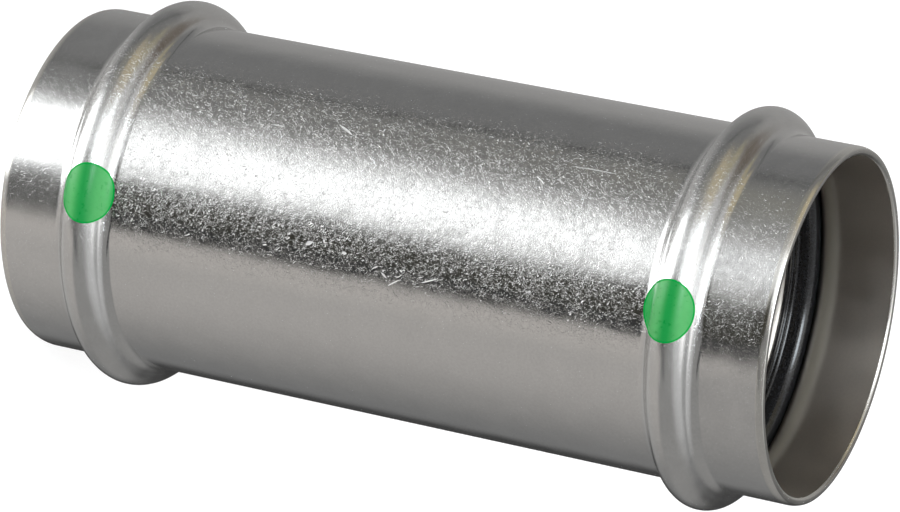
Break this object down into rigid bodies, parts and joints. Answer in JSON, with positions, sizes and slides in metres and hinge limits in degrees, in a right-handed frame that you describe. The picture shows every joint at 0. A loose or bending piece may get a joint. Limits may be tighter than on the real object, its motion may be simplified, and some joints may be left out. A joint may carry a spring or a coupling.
{
  "type": "press fit coupling",
  "caption": "Straight stainless steel press fit coupling for a 54 mm pipe, with a rolled bead and rubber seal near each end and a green dot on each bead.",
  "frame": {"origin": "centre of the lower end, on the surface that the coupling stands on", "axes": "+Z along the tube, up; -Y towards the side with the two marking dots; +X to the right of that side"},
  "size_m": [0.0648, 0.0649, 0.1344],
  "materials": {
    "stainless_steel": "satin, pickled, with fine handling scratches",
    "seal_rubber": "smooth, slightly glossy black",
    "dot_print": "smooth printed green ink"
  },
  "bodies": {
    "root": {"coupling_body": "stainless_steel", "upper_seal_ring": "seal_rubber", "lower_seal_ring": "seal_rubber", "upper_marking_dot": "dot_print", "lower_marking_dot": "dot_print"}
  },
  "joints": []
}
